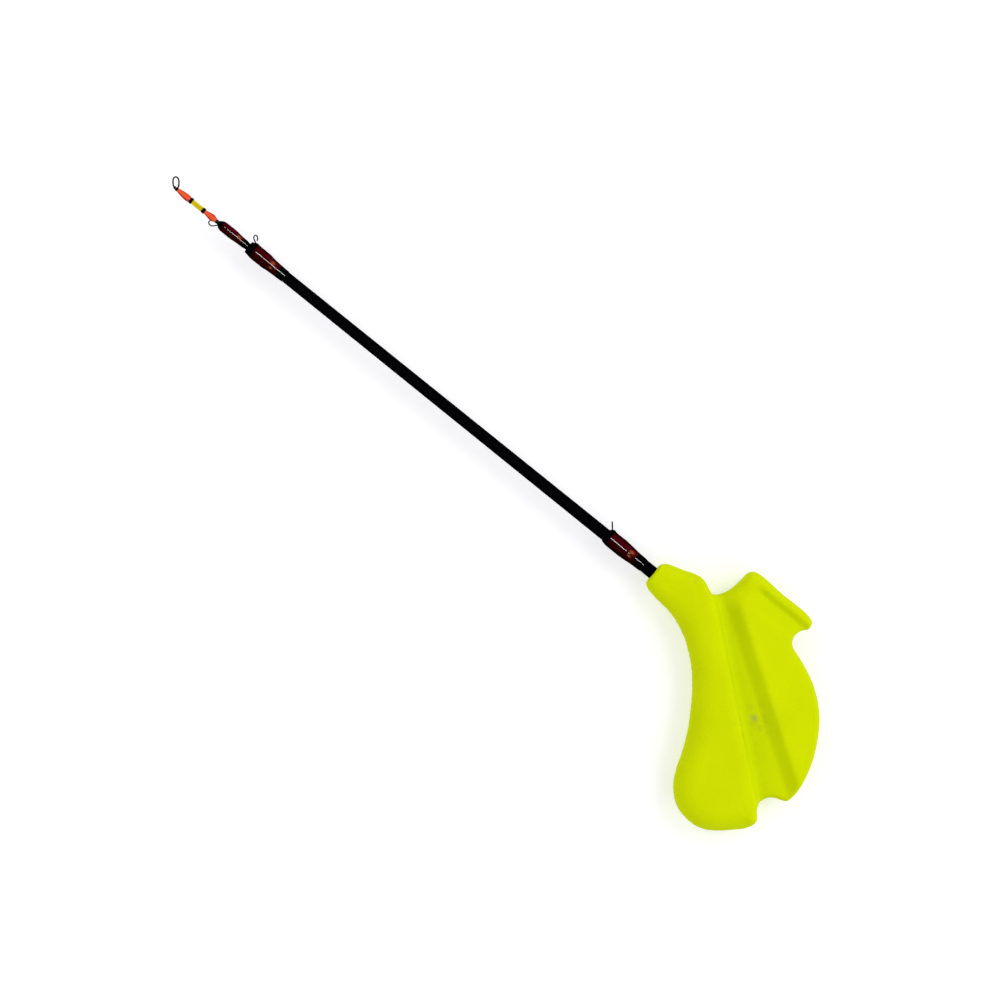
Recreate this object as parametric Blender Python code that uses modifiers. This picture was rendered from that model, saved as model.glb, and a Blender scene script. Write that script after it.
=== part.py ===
"""Ice fishing rod with a foam line-winder handle and a strike indicator, as separate pieces.

Blender 4.5, metres, +Z up. The rod lies on its side on the plane z = 0. The blank runs along X,
from the tip at -X to the handle at +X, at half the handle's thickness. The origin is the rest
point: it lies in the flat under the grip. Run it with blender --background --python part.py.
"""

import math

import bmesh
import bpy
import numpy as np
from mathutils import Vector
from mathutils.geometry import delaunay_2d_cdt

MM = 0.001
SMALLEST = 1e-7  # merge distance of modifiers

# Where the rest point lies in the handle's plane: from the mouth of the handle towards the butt,
# and from the blank's axis towards the horn.
REST_POINT = (70 * MM, -30 * MM)

# Handle: a foam slab, in a plane with x from its mouth to the butt and y towards the horn.
SLAB_HALF = 11.5 * MM  # half the slab's thickness, at the grip's flats
NECK_HALF = 6.6 * MM  # half the thickness where the blank enters
NECK_TAPER = 32 * MM  # the slab's full thickness is reached this far from the mouth
FLOOR_HALF = 6.0 * MM  # half the thickness left between the two winding channels
LOBE_FALL = 0.16  # how fast the lobe thins from the channel to its rim
LOBE_LEAST = 6.2 * MM
GRIP_ROUND = 11 * MM  # how far in the grip's edge is rounded
LOBE_ROUND = 2.8 * MM  # the same for the lobe, horn and notches
MOUTH_ROUND = 2.2 * MM  # the same for the end of the neck
EDGE_POWER = 2.2  # 2 is a round edge, more is squarer
GRIP_FADE = (-9 * MM, -2 * MM)  # from the ridge: the edge goes from grip to lobe rounding

# Winding channel: it starts at a ridge beside the grip and widens towards the tail.
RIDGE_START = (31.9 * MM, 9.4 * MM)
RIDGE_ANGLE = math.radians(-39.5)
CHANNEL_WIDTH = 7.3 * MM  # between the middles of its walls, at the ridge's start
CHANNEL_SPREAD = 0.111  # how fast it widens
LEFT_WALL = 2.7 * MM  # width of the steep wall beside the grip, seen from above
RIGHT_WALL = 3.6 * MM
LOBE_CREST = 11.9 * MM  # half the lobe's thickness at the wall, before the slab's face cuts it

# Horn: a shallow valley behind a rolled rim.
VALLEY_FROM, VALLEY_AT, BEAD_AT = 15 * MM, 24.4 * MM, 28 * MM
VALLEY_DEPTH, BEAD_RISE = 3.3 * MM, 3.0 * MM
VALLEY_FADE = (41 * MM, 50 * MM)
DIP_CENTRE, DIP_RADIUS, DIP_DEPTH = (34.5 * MM, 17 * MM), 13 * MM, 4.6 * MM  # at the upper notch

OUTLINE = [
    (x * MM, y * MM)
    for x, y in (
        # neck, from its lip to the shoulder
        (2.5, 5.4), (4.4, 7.6), (12.5, 10.4), (20.5, 12.9),
        # upper notch
        (24.6, 12.3), (28.0, 10.7), (30.5, 10.1), (32.7, 11.6), (35.6, 16.8),
        # horn, with its straight rim
        (36.8, 23.0), (37.6, 29.0), (40.2, 31.3), (56.5, 31.1), (72.8, 30.8),
        (76.4, 29.2), (77.0, 25.9), (74.6, 22.6),
        # rear notch and lobe
        (73.8, 18.6), (75.6, 15.0), (84.0, 11.8), (93.2, 7.7), (101.6, 2.0), (108.3, -4.9),
        (113.6, -13.0), (117.8, -21.9), (120.6, -31.8), (121.4, -40.4), (120.6, -44.9),
        # lower notch
        (118.0, -46.3), (115.0, -47.4), (112.3, -49.6), (110.8, -53.4), (111.7, -57.0),
        (114.2, -59.8), (115.1, -62.6), (113.8, -66.6),
        # tail and the hollow front of the grip
        (109.0, -71.9), (102.5, -77.6), (96.2, -81.1), (89.5, -81.8), (82.5, -80.5),
        (76.6, -76.8), (72.5, -72.0), (69.5, -66.0), (66.8, -58.6), (62.8, -49.4),
        (57.0, -39.6), (50.3, -30.0), (42.0, -21.3), (32.0, -14.2), (21.7, -10.0),
        (13.4, -8.9), (6.0, -7.8), (3.1, -6.4), (2.2, -4.4),
    )
]
OUTLINE_STEP = 4.2 * MM  # longest edge of the modelled outline
OUTLINE_TURN = math.radians(16)  # most that it turns between two edges
INSETS = (0.5 * MM, 1.3 * MM, 2.8 * MM, 5.5 * MM, 8.5 * MM)  # rows of points beside the outline
ROW_FOLD = 0.93  # a row's point is left out where it is nearer the edge than this share of its inset
ROW_SPREAD = (0.45, 0.2 * MM)  # least gap in a row: share of its inset, plus a length
CREASE_STEP = 2.2 * MM
CREASE_SPREAD = 0.9 * MM
CREASE_LENGTH = 110 * MM
FILL_STEP = 4.4 * MM
FILL_SPREAD = 0.62  # the same for the fill, as a share of its step
PATH_STEP = 0.4 * MM

# Blank: a tube, with a solid tip rod glued into its front end. Stations along the rod are
# measured from the mouth of the handle towards the tip.
BLANK_R, BLANK_TIP_R = 3.08 * MM, 2.74 * MM
BLANK_SEAT = 45 * MM  # how deep it sits in the handle
BLANK_TIP = 247.3 * MM
BOND_GAP = 0.10 * MM
BOND = 0.40 * MM  # glue line between blank and handle
BOND_INSET = 3.6 * MM  # the glue line ends this far inside the mouth
HANDLE_BORE_R = BLANK_R + 2 * BOND_GAP + BOND
TIP_ROD_R = 1.60 * MM
TIP_ROD_SEAT = 25.3 * MM  # how deep it sits in the blank
BLANK_BORE_R = TIP_ROD_R + BOND_GAP

# Thread wraps: red thread between two black trims, under a coat of epoxy.
COAT_GAP = 0.03 * MM
THREAD_LEAST = 0.12 * MM
EPOXY = 0.12 * MM
AXIAL_GAP = 0.10 * MM
# lengths of the rear trim, the red thread and the front trim
LOWER_LENGTHS = (5.2 * MM, 15.2 * MM, 2.6 * MM)
MIDDLE_LENGTHS = (4.4 * MM, 14.8 * MM, 3.5 * MM)
TIP_LENGTHS = (3.4 * MM, 12.0 * MM, 1.9 * MM)
LOWER_FROM = 3.9 * MM
MIDDLE_FROM = BLANK_TIP - sum(MIDDLE_LENGTHS)
TIP_FROM = BLANK_TIP + 0.3 * MM
TIP_ROD_TIP = TIP_FROM + sum(TIP_LENGTHS)
# coat: share of the wrap's length, and height over the rod
LOWER_COAT = ((0, 0.27 * MM), (0.23, 0.35 * MM), (0.37, 0.70 * MM), (0.54, 1.02 * MM),
              (0.71, 0.89 * MM), (0.89, 0.67 * MM), (1, 0.36 * MM))
MIDDLE_COAT = ((0, 0.27 * MM), (0.19, 0.36 * MM), (0.41, 0.60 * MM), (0.59, 0.77 * MM),
               (0.76, 0.83 * MM), (0.90, 0.64 * MM), (1, 0.36 * MM))
TIP_COAT = ((0, 0.56 * MM), (0.20, 0.52 * MM), (0.43, 0.70 * MM), (0.62, 0.84 * MM),
            (0.78, 0.86 * MM), (0.89, 0.76 * MM), (0.97, 0.52 * MM), (1, 0.36 * MM))
# the tip's coat goes on past the rod's end: distance from there, and radius
COAT_END = ((0.3 * MM, 1.88 * MM), (0.9 * MM, 1.45 * MM), (1.3 * MM, 0.85 * MM))

# Guides: one wire each, a foot bound under the thread and an open loop at its end.
WIRE_R = 0.30 * MM
FOOT = 9 * MM
FOOT_GAP = 0.05 * MM
# how far before its wrap's end each guide's wire comes out
LOWER_EXIT, MIDDLE_EXIT, TIP_EXIT = 1.5 * MM, 2.3 * MM, 0.3 * MM
GUIDE_LOOP = [  # across and up the loop, from the foot's bend
    (v * MM, u * MM)
    for v, u in (
        (0, 0.45), (0.12, 0.95), (0.65, 1.6), (1.3, 2.5), (1.45, 3.3), (1.05, 4.15), (0, 4.55),
        (-1.05, 4.15), (-1.45, 3.3), (-1.3, 2.5), (-0.85, 1.85),
    )
]
MIDDLE_LOOP = [(-v, u) for v, u in GUIDE_LOOP]
TIP_LOOP = [  # the tip's is folded forward, and lies to one side under the indicator
    (v * MM, u * MM)
    for v, u in (
        (0, 0.45), (0.3, 0.95), (1.15, 1.7), (2.1, 2.7), (2.35, 3.8), (1.95, 4.9), (0.95, 5.5),
        (-0.1, 5.2), (-0.55, 4.3), (-0.6, 3.3), (-0.4, 2.4),
    )
]
# angle round the rod from +Z towards +Y, lean towards the tip, twist of the loop on its neck
LOWER_TURN = (math.radians(90), math.radians(41), 0.0)
MIDDLE_TURN = (math.radians(90), math.radians(41), math.radians(35))
TIP_TURN = (math.radians(205), math.radians(75), 0.0)

# Strike indicator, on a spring wire that bends in front of the tip wrap. Its pieces follow each
# other along the wire: length and radius of each, or a profile from its rear end.
FLEX_AT = TIP_ROD_TIP + 1.9 * MM
FLEX_GAP = 0.30 * MM  # from the bend's middle to each half of the spring wire
CORE_R = 0.45 * MM
CORE_SEAT = 5.4 * MM  # how deep the spring wire sits in the tip rod
CORE_SHORT = 0.3 * MM  # it ends this far inside the front sleeve
SOCKET_GAP = 0.05 * MM
NOD_FROM = FLEX_AT + 0.6 * MM
NOD_REAR = [(s * MM, r * MM) for s, r in (
    (0, 1.02), (0.5, 1.12), (1.2, 1.38), (2.0, 1.64), (2.6, 1.66), (4.3, 1.45), (6.0, 1.12), (6.9, 0.98))]
REAR_BAND, REAR_BAND_R = 1.6 * MM, 1.38 * MM
NOD_MIDDLE, NOD_MIDDLE_R = 6.1 * MM, 1.28 * MM
FRONT_BAND, FRONT_BAND_R = 1.4 * MM, 1.55 * MM
NOD_FRONT = [(s * MM, r * MM) for s, r in (
    (0, 1.38), (1.2, 1.60), (2.6, 1.62), (4.8, 1.42), (6.6, 1.10), (7.6, 0.86))]
COLLAR, COLLAR_R = 2.0 * MM, 1.06 * MM
EDGE_BEVEL = 0.2 * MM
TIP_RING = [  # the ring's wire, from one leg to the other: from the collar's rear end, and over the axis
    (s * MM, y * MM)
    for s, y in (
        (0.7, -0.30), (1.9, -0.15), (3.3, 0.60), (4.5, 1.90), (5.1, 3.15), (4.9, 4.15),
        (4.1, 4.50), (3.1, 4.30), (2.2, 3.60), (1.4, 2.60), (0.8, 1.50), (0.5, 0.55),
    )
]

ROD_SIDES = 24
WIRE_RESOLUTION = 2  # eight sides
WIRE_STEP = 0.5 * MM
DOME_ANGLES = (10, 35, 60)
BOOLEAN_MARGIN = 1 * MM


def clear_scene():
    for item in list(bpy.data.objects):
        bpy.data.objects.remove(item)


def new_collection(name):
    collection = bpy.data.collections.new(name)
    bpy.context.scene.collection.children.link(collection)
    return collection


def new_empty(name, location, rotation=(0, 0, 0), parent=None):
    empty = bpy.data.objects.new(name, None)
    empty.location, empty.rotation_euler, empty.parent = location, rotation, parent
    PARTS.objects.link(empty)
    return empty


def new_material(name, colour, roughness, metallic=0.0):
    material = bpy.data.materials.new(name)
    material.use_nodes = True
    shader = material.node_tree.nodes["Principled BSDF"]
    shader.inputs["Base Color"].default_value = (*colour, 1)
    shader.inputs["Roughness"].default_value = roughness
    shader.inputs["Metallic"].default_value = metallic
    material.diffuse_color = (*colour, 1)
    return material


def new_object(name, mesh, material, parent, collection=None):
    part = bpy.data.objects.new(name, mesh)
    part.parent = parent
    if material:
        mesh.materials.append(material)
    (collection or PARTS).objects.link(part)
    return part


def smoothstep(low, high, value):
    t = np.clip((value - low) / (high - low), 0, 1)
    return t * t * (3 - 2 * t)


def smooth_path(points, step, closed=False):
    """Points every step or so along a centripetal Catmull-Rom curve through the given ones."""
    points = [np.array(p, float) for p in points]
    if closed:
        points = [points[-1], *points, points[0], points[1]]
    else:
        points = [2 * points[0] - points[1], *points, 2 * points[-1] - points[-2]]
    path = []
    for a, b, c, d in zip(points, points[1:], points[2:], points[3:]):
        before, here, after = (math.sqrt(np.linalg.norm(q - p)) for p, q in ((a, b), (b, c), (c, d)))
        leave = c - b + here * ((b - a) / before - (c - a) / (before + here))
        arrive = c - b + here * ((d - c) / after - (d - b) / (here + after))
        for t in np.linspace(0, 1, max(1, math.ceil(np.linalg.norm(c - b) / step)), endpoint=False):
            path.append(
                (1 + 2 * t) * (1 - t) ** 2 * b + t * (1 - t) ** 2 * leave
                + t * t * (3 - 2 * t) * c - t * t * (1 - t) * arrive
            )
    if not closed:
        path.append(points[-2])
    return np.array(path)


clear_scene()
PARTS = new_collection("ice_fishing_rod")
CUTTERS = new_collection("cutters")


# ---- handle


def thinned(path, turn, longest):
    """The points of a dense closed path that keep its shape: more of them where it bends."""
    kept, turned, run = [path[0]], 0.0, 0.0
    for before, here, after in zip(path, path[1:], np.vstack([path[2:], path[:1]])):
        one, two = here - before, after - here
        turned += abs(math.atan2(one[0] * two[1] - one[1] * two[0], one @ two))
        run += np.linalg.norm(one)
        if turned > turn or run > longest:
            kept.append(here)
            turned = run = 0.0
    return np.array(kept)


def distance_to(points, path):
    """How far each point is from an open path."""
    start, along = path[:-1], np.diff(path, axis=0)
    offset = points[:, None] - start[None]
    share = np.clip((offset * along).sum(-1) / (along ** 2).sum(-1), 0, 1)
    return np.linalg.norm(offset - share[..., None] * along, axis=-1).min(1)


def is_inside(points, loop):
    """Which points a closed outline holds, by counting crossings to their right."""
    x, y = points[:, 0, None], points[:, 1, None]
    (x0, y0), (x1, y1) = loop.T, np.roll(loop, -1, axis=0).T
    spans = (y0 > y) != (y1 > y)
    crossing = x0 + (y - y0) * (x1 - x0) / np.where(y1 == y0, 1, y1 - y0)
    return (spans & (x < crossing)).sum(1) % 2 == 1


def rounded(distance, radius):
    """Share of the full height at a distance from an edge that is rounded over a radius."""
    return (1 - np.clip(1 - distance / radius, 0, 1) ** EDGE_POWER) ** (1 / EDGE_POWER)


def ridge_coordinates(x, y):
    """Distances along the ridge and across it, towards the lobe."""
    dx, dy = x - RIDGE_START[0], y - RIDGE_START[1]
    cos, sin = math.cos(RIDGE_ANGLE), math.sin(RIDGE_ANGLE)
    return dx * cos + dy * sin, -dx * sin + dy * cos


def from_ridge(along, across):
    """The point at these distances along the ridge and across it."""
    cos, sin = math.cos(RIDGE_ANGLE), math.sin(RIDGE_ANGLE)
    return np.column_stack([
        RIDGE_START[0] + along * cos - across * sin, RIDGE_START[1] + along * sin + across * cos])


def right_wall(along):
    """How far across the channel its wall beside the lobe lies."""
    return CHANNEL_WIDTH + CHANNEL_SPREAD * along


def half_thickness(points, outline):
    """The handle's surface over its middle plane."""
    x, y = points.T
    along, across = ridge_coordinates(x, y)
    wall = right_wall(along)
    lobe = np.maximum(LOBE_CREST - LOBE_FALL * (across - wall), LOBE_LEAST)
    horn = smoothstep(*VALLEY_FADE, x)
    lobe = lobe - horn * VALLEY_DEPTH * smoothstep(VALLEY_FROM, VALLEY_AT, y)
    lobe = lobe + horn * BEAD_RISE * smoothstep(VALLEY_AT, BEAD_AT, y)
    dip = np.hypot(x - DIP_CENTRE[0], y - DIP_CENTRE[1])
    lobe = lobe - DIP_DEPTH * (1 - smoothstep(0, DIP_RADIUS, dip))
    grip = NECK_HALF + (SLAB_HALF - NECK_HALF) * smoothstep(0, NECK_TAPER, x)
    on_lobe = smoothstep(wall - RIGHT_WALL / 2, wall + RIGHT_WALL / 2, across)
    in_channel = smoothstep(-LEFT_WALL / 2, LEFT_WALL / 2, across)
    right = FLOOR_HALF + (np.minimum(lobe, SLAB_HALF) - FLOOR_HALF) * on_lobe
    height = grip + (right - grip) * in_channel
    mouth = outline[:, 0].min()
    lip = np.array([[mouth - NECK_TAPER, NECK_HALF], [mouth - NECK_TAPER, -NECK_HALF]])
    sides = np.vstack([lip[:1], outline[outline_sides(outline)], lip[1:]])
    radius = np.where(x < NECK_TAPER, np.minimum(GRIP_ROUND, grip), GRIP_ROUND)
    radius = radius + (LOBE_ROUND - radius) * smoothstep(*GRIP_FADE, across)
    return height * rounded(distance_to(points, sides), radius) * rounded(x - mouth, MOUTH_ROUND)


def outline_sides(outline):
    """Which points of the outline are its sides, in order, without the end of the neck."""
    return np.flatnonzero(outline[:, 0] > outline[:, 0].min() + MOUTH_ROUND)


def spread(candidates, kept, gap):
    """Adds the candidates that are at least a gap from every point kept so far."""
    for point in candidates:
        if np.min(np.hypot(*(np.array(kept) - point).T)) >= gap:
            kept.append(point)


def surface_points(outline, dense):
    """Points for the handle's face: rows beside its edge and its creases, then an even fill."""
    loop = np.vstack([dense, dense[:1]])
    kept = list(outline)
    tangent = np.roll(outline, -1, axis=0) - np.roll(outline, 1, axis=0)
    inward = np.column_stack([tangent[:, 1], -tangent[:, 0]])
    inward /= np.linalg.norm(inward, axis=1)[:, None]
    for inset in INSETS:
        row = outline + inset * inward
        row = row[is_inside(row, dense)]
        row = row[distance_to(row, loop) > ROW_FOLD * inset]
        spread(row, kept, ROW_SPREAD[0] * inset + ROW_SPREAD[1])
    length = np.arange(0, CREASE_LENGTH, CREASE_STEP)
    left = [np.full_like(length, across) for across in (-LEFT_WALL / 2, 0, LEFT_WALL / 2)]
    right = [right_wall(length) + across for across in (-RIGHT_WALL / 2, RIGHT_WALL / 2)]
    creases = [from_ridge(length, across) for across in left + right]
    for y in (VALLEY_AT, (VALLEY_AT + BEAD_AT) / 2, BEAD_AT):
        creases.append(np.column_stack([VALLEY_FADE[0] + length, np.full_like(length, y)]))
    creases = np.vstack(creases)
    creases = creases[is_inside(creases, dense)]
    creases = creases[distance_to(creases, loop) > INSETS[0]]
    spread(creases, kept, CREASE_SPREAD)
    low, high = dense.min(0), dense.max(0)
    rows = np.arange(low[1], high[1], FILL_STEP * math.sqrt(3) / 2)
    fill = np.array([
        (low[0] + FILL_STEP * (i + (j % 2) / 2), y)
        for j, y in enumerate(rows) for i in range(int((high[0] - low[0]) / FILL_STEP) + 1)])
    fill = fill[is_inside(fill, dense)]
    fill = fill[distance_to(fill, loop) > INSETS[1]]
    spread(fill, kept, FILL_SPREAD * FILL_STEP)
    return np.array(kept)


def handle_body(parent):
    """The upper half's face, mirrored at the slab's middle plane and bored for the blank."""
    dense = smooth_path(OUTLINE, PATH_STEP, closed=True)
    outline = thinned(dense, OUTLINE_TURN, OUTLINE_STEP)
    points = surface_points(outline, dense)
    edge = len(outline)
    ring = list(range(edge))[::-1]
    found, _, faces, *_ = delaunay_2d_cdt([Vector(p) for p in points], [], [ring], 1, 1e-6)
    height = half_thickness(points, outline)
    height[:edge] = 0
    assert len(found) == len(points)
    mesh = bpy.data.meshes.new("handle_body")
    mesh.from_pydata([(*p, h) for p, h in zip(points, height)], [], faces)
    body = new_object("handle_body", mesh, FOAM, parent)
    mirror = body.modifiers.new("both faces", "MIRROR")
    mirror.use_axis = (False, False, True)
    mirror.merge_threshold = SMALLEST
    depth = BLANK_SEAT + BOND_GAP
    bore = turned("handle_bore", [(BOOLEAN_MARGIN, HANDLE_BORE_R), (-depth, HANDLE_BORE_R)], None, None)
    cut(body, bore)
    return body


# ---- turned pieces, wires and cuts


def turned(name, outside, inside, material, parent=None):
    """A piece turned about the rod's axis from profiles of (station, radius) towards the tip.

    The outside runs in either direction. With no inside, the piece is solid."""
    outside = sorted(outside, key=lambda p: -p[0])
    if inside:
        profile = outside + sorted(inside, key=lambda p: p[0])
    else:
        profile = [(outside[0][0], 0)] + outside + [(outside[-1][0], 0)]
    count = len(profile)
    edges = [(i, i + 1) for i in range(count - 1)] + ([(count - 1, 0)] if inside else [])
    mesh = bpy.data.meshes.new(name)
    half_facet = math.pi / ROD_SIDES  # keeps corners off the slab's middle plane
    cos, sin = math.cos(half_facet), math.sin(half_facet)
    mesh.from_pydata([(r * cos, r * sin, s) for s, r in profile], edges, [])
    piece = new_object(name, mesh, material, parent or ROD, None if material else CUTTERS)
    screw = piece.modifiers.new("turn", "SCREW")
    screw.steps = screw.render_steps = ROD_SIDES
    screw.use_merge_vertices = True
    screw.merge_threshold = SMALLEST
    screw.use_smooth_shade = True
    return piece


def as_mesh(piece, collection=None):
    """Turns a curve into a mesh with its caps welded on, in the same place."""
    bpy.context.view_layer.update()
    evaluated = piece.evaluated_get(bpy.context.evaluated_depsgraph_get())
    mesh = bpy.data.meshes.new_from_object(evaluated)
    work = bmesh.new()
    work.from_mesh(mesh)
    bmesh.ops.remove_doubles(work, verts=work.verts, dist=SMALLEST * 10)
    work.to_mesh(mesh)
    work.free()
    name, material, world = piece.name, piece.active_material, piece.matrix_world.copy()
    parent = piece.parent
    bpy.data.objects.remove(piece)
    mesh.materials.clear()
    solid = new_object(name, mesh, material, parent, collection)
    solid.matrix_world = world
    return solid


def cut(piece, cutter):
    cutter.hide_render = True
    cutter.display_type = "WIRE"
    boolean = piece.modifiers.new("cut", "BOOLEAN")
    boolean.operation = "DIFFERENCE"
    boolean.object = cutter


def wire(name, path, radius, material, parent):
    """A round wire along a path of points."""
    data = bpy.data.curves.new(name, "CURVE")
    data.dimensions = "3D"
    data.bevel_depth = radius
    data.bevel_resolution = WIRE_RESOLUTION
    data.use_fill_caps = True
    spline = data.splines.new("POLY")
    spline.points.add(len(path) - 1)
    for point, place in zip(spline.points, path):
        point.co = (*place, 1)
    return as_mesh(new_object_from_curve(name, data, material, parent))


def new_object_from_curve(name, data, material, parent):
    piece = bpy.data.objects.new(name, data)
    piece.parent = parent
    data.materials.append(material)
    PARTS.objects.link(piece)
    return piece


def block(name, low, high, parent):
    """A box between two corners, to cut with."""
    mesh = bpy.data.meshes.new(name)
    work = bmesh.new()
    bmesh.ops.create_cube(work, size=1)
    for vert in work.verts:
        vert.co = Vector([a + (b - a) * (c + 0.5) for a, b, c in zip(low, high, vert.co)])
    work.to_mesh(mesh)
    work.free()
    return new_object(name, mesh, None, parent, CUTTERS)


# ---- rod


def rod_radius(station):
    """The blank's radius where there is blank, and the tip rod's in front of it."""
    if station > BLANK_TIP:
        return TIP_ROD_R
    return BLANK_R + (BLANK_TIP_R - BLANK_R) * max(station, 0) / BLANK_TIP


def rod():
    turned("blank_tube", [(s, rod_radius(s)) for s in (-BLANK_SEAT, 0, BLANK_TIP)],
           [(s, BLANK_BORE_R) for s in (-BLANK_SEAT, BLANK_TIP)], BLANK_BLACK)
    near, far = BLANK_R + BOND_GAP, HANDLE_BORE_R - BOND_GAP
    span = (-BLANK_SEAT, -BOND_INSET)
    turned("handle_adhesive", [(s, far) for s in span], [(s, near) for s in span], GLUE)
    span = (BLANK_TIP - TIP_ROD_SEAT, TIP_ROD_TIP)
    tip = turned("tip_rod", [(s, TIP_ROD_R) for s in span], None, BLANK_BLACK)
    span = (TIP_ROD_TIP - CORE_SEAT - BOND_GAP, TIP_ROD_TIP + BOOLEAN_MARGIN)
    cut(tip, turned("core_socket", [(s, CORE_R + BOND_GAP) for s in span], None, None))


def wrap(name, start, lengths, coat, exit_before, loop, turn, end=()):
    """Thread, trims and coat round the rod, with the guide whose foot they hold.

    The end, if any, closes the coat round the spring wire, past the wrap."""
    angle, lean, twist = turn
    red_from, red_to = start + lengths[0], start + lengths[0] + lengths[1]
    front = start + sum(lengths)
    guide_exit = front - exit_before
    foot_radius = rod_radius(guide_exit - FOOT) + FOOT_GAP + WIRE_R
    foot = (guide_exit - FOOT - WIRE_R - FOOT_GAP, guide_exit - BOOLEAN_MARGIN)
    over_foot = foot_radius + WIRE_R + FOOT_GAP + THREAD_LEAST + COAT_GAP + EPOXY
    stations = [start + share * (front - start) for share, _ in coat]
    places = sorted({*stations, *foot, start, red_from, red_to, front})

    def outer(station):
        radius = rod_radius(station) + float(np.interp(station, stations, [h for _, h in coat]))
        return max(radius, over_foot) if foot[0] <= station <= foot[1] else radius

    def bore(station):
        return rod_radius(station) + COAT_GAP

    def thread(part, rear, tip, material):
        run = [rear + AXIAL_GAP / 2, *(s for s in places if rear < s < tip), tip - AXIAL_GAP / 2]
        outside = [(s, max(outer(s) - EPOXY - COAT_GAP, bore(s) + THREAD_LEAST)) for s in run]
        return turned(f"{name}_{part}", outside, [(s, bore(s)) for s in (run[0], run[-1])], material)

    thread("trim_rear", start, red_from, BLACK_THREAD)
    bound = [thread("wrap_thread", red_from, red_to, RED_THREAD),
             thread("trim_front", red_to, front, BLACK_THREAD)]
    inside = [(s, max(outer(s) - EPOXY, bore(s) + THREAD_LEAST + COAT_GAP)) for s in places]
    outside = [(s, r + EPOXY) for s, r in inside]
    if end:
        outside += [(front + s, r) for s, r in end]
        inside[-1] = (front + COAT_GAP, inside[-1][1])
        inside += [(s, CORE_R + BOND_GAP) for s in (front + 2 * COAT_GAP, outside[-1][0])]
    shell = turned(f"{name}_epoxy", outside, inside, CLEAR_EPOXY)
    seat = new_empty(f"{name}_guide_seat", (0, 0, 0), (0, 0, angle), ROD)
    guide(name, seat, foot_radius, guide_exit, loop, lean, twist)
    room = WIRE_R + FOOT_GAP
    slot = block(f"{name}_foot_slot", (0, -room, foot[0]),
                 (foot_radius + room, room, guide_exit + BOOLEAN_MARGIN), seat)
    way = block(f"{name}_neck_slot", (0, -room, foot[1]),
                (2 * foot_radius, room, outside[-1][0] + BOOLEAN_MARGIN), seat)
    for piece in bound:
        cut(piece, slot)
    for piece in (*bound, shell):
        cut(piece, way)


def guide(name, seat, foot_radius, guide_exit, loop, lean, twist):
    """The guide's wire: its foot along the rod, then its loop, turned on its neck and leant."""
    foot = [(foot_radius, 0, guide_exit - s) for s in (FOOT, FOOT / 2, 2 * WIRE_R, 0)]
    up = Vector((math.cos(lean), 0, math.sin(lean)))
    side = Vector((0, 1, 0))
    side = side * math.cos(twist) + side.cross(up) * math.sin(twist)
    corner = Vector((foot_radius, 0, guide_exit + WIRE_R))
    path = smooth_path(foot[1:] + [tuple(corner + side * v + up * u) for v, u in loop], WIRE_STEP)
    wire(f"{name}_guide", [foot[0], *path], WIRE_R, STEEL_WIRE, seat)


# ---- strike indicator


def nod(parent):
    """The indicator's pieces, strung on its core one after the other."""
    hole = CORE_R + COAT_GAP
    rear_end = FLEX_AT - FLEX_GAP

    def sleeve(name, start, profile, material):
        """A sleeve from a profile of distance and radius. Gives the station of its end."""
        outside = [(start + s, r) for s, r in profile]
        outside[0] = (outside[0][0] + AXIAL_GAP / 2, outside[0][1])
        outside[-1] = (outside[-1][0] - AXIAL_GAP / 2, outside[-1][1])
        turned(name, outside, [(outside[0][0], hole), (outside[-1][0], hole)], material, parent)
        return start + profile[-1][0]

    def band(name, start, length, radius, material):
        return sleeve(name, start, [(0, radius - EDGE_BEVEL), (EDGE_BEVEL, radius), (
            length - EDGE_BEVEL, radius), (length, radius - EDGE_BEVEL)], material)

    at = sleeve("nod_sleeve_rear", NOD_FROM, NOD_REAR, NOD_RED)
    at = band("nod_band_rear", at, REAR_BAND, REAR_BAND_R, NOD_BLACK)
    at = band("nod_sleeve_middle", at, NOD_MIDDLE, NOD_MIDDLE_R, NOD_YELLOW)
    at = band("nod_band_front", at, FRONT_BAND, FRONT_BAND_R, NOD_BLACK)
    at = sleeve("nod_sleeve_front", at, NOD_FRONT, NOD_RED)
    turned("nod_core_root", [(TIP_ROD_TIP - CORE_SEAT, CORE_R), (rear_end - CORE_R, CORE_R),
                             *dome(rear_end, -1)], None, SPRING_WIRE)
    turned("nod_core", [*dome(FLEX_AT + FLEX_GAP, 1), (at - CORE_SHORT, CORE_R)], None, SPRING_WIRE, parent)
    collar = turned("nod_collar", [(at + AXIAL_GAP, COLLAR_R), (at + COLLAR - EDGE_BEVEL, COLLAR_R),
                                   (at + COLLAR, COLLAR_R - EDGE_BEVEL)], None, NOD_BLACK, parent)
    path = smooth_path([(0, y, at + s) for s, y in TIP_RING], WIRE_STEP)
    wire("nod_ring", path, WIRE_R, STEEL_WIRE, parent)
    first, last = 2 * path[0] - path[1], 2 * path[-1] - path[-2]
    sockets = wire("ring_sockets", [first, *path, last], WIRE_R + SOCKET_GAP, STEEL_WIRE, parent)
    PARTS.objects.unlink(sockets)
    CUTTERS.objects.link(sockets)
    cut(collar, sockets)


def dome(tip, way):
    """A round end on the spring wire, from its tip backwards."""
    angles = [math.radians(a) for a in DOME_ANGLES]
    return [(tip + way * CORE_R * (1 - math.cos(a)), CORE_R * math.sin(a)) for a in angles]


# ---- the rod

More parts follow.
